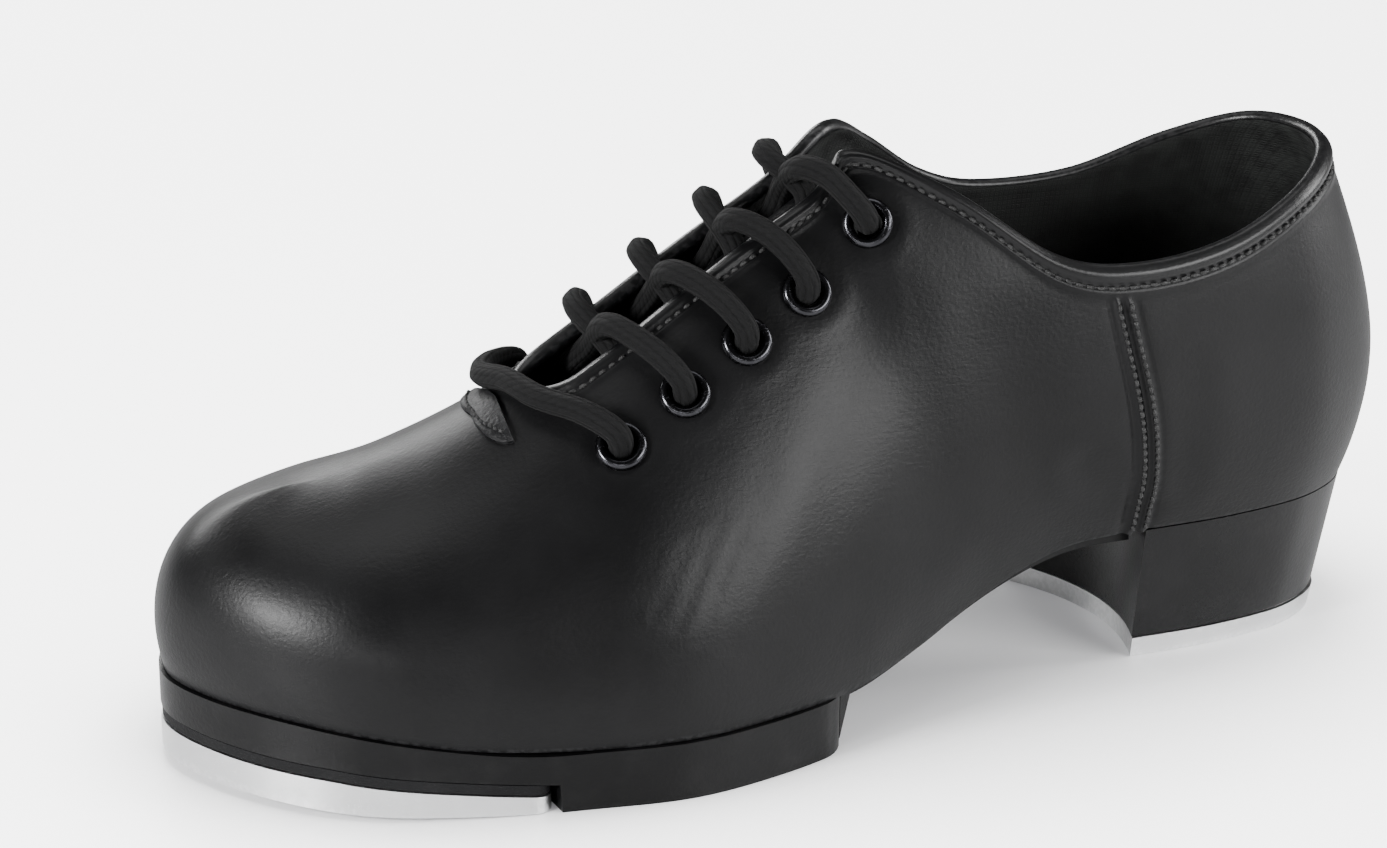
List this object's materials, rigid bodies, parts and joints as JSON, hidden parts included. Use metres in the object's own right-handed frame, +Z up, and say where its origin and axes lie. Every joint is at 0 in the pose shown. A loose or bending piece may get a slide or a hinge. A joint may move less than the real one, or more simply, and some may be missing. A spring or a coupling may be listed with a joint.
{
  "type": "tap shoe",
  "caption": "Left lace-up leather tap shoe with a block heel, an open throat over a tongue, and metal taps under the toe and the heel.",
  "frame": {"origin": "on the floor, in the middle of the heel tap's underside", "axes": "+Z up; the toe points to -X and the heel's back to +X; the outer (lateral) side of the foot is at -Y and the inner (medial) side at +Y"},
  "size_m": [0.2642, 0.0932, 0.1126],
  "materials": {
    "upper_leather": "smooth black leather, semi-gloss",
    "tongue_leather": "soft black leather, satin",
    "insole": "dark matte lining leather",
    "outsole": "black, satin edge",
    "heel_block": "smooth black edge dressing",
    "tap_pad": "thin black pad, matte",
    "tap_metal": "cast aluminium, satin, worn edges",
    "eyelet_metal": "dark gunmetal with rubbed bright rims",
    "lace_cord": "round black braid"
  },
  "bodies": {
    "root": {"upper": "upper_leather", "outsole": "outsole", "heel": "heel_block", "toe_tap_pad": "tap_pad", "toe_tap": "tap_metal", "heel_tap": "tap_metal", "insole": "insole", "tongue": "tongue_leather", "throat_stay": "upper_leather", "eyelet_outer_1": "eyelet_metal", "eyelet_outer_2": "eyelet_metal", "eyelet_outer_3": "eyelet_metal", "eyelet_outer_4": "eyelet_metal", "eyelet_outer_5": "eyelet_metal", "eyelet_inner_1": "eyelet_metal", "eyelet_inner_2": "eyelet_metal", "eyelet_inner_3": "eyelet_metal", "eyelet_inner_4": "eyelet_metal", "eyelet_inner_5": "eyelet_metal", "lace_bar": "lace_cord", "lace_crossing_1": "lace_cord", "lace_crossing_2": "lace_cord", "lace_crossing_3": "lace_cord", "lace_crossing_4": "lace_cord"}
  },
  "joints": []
}
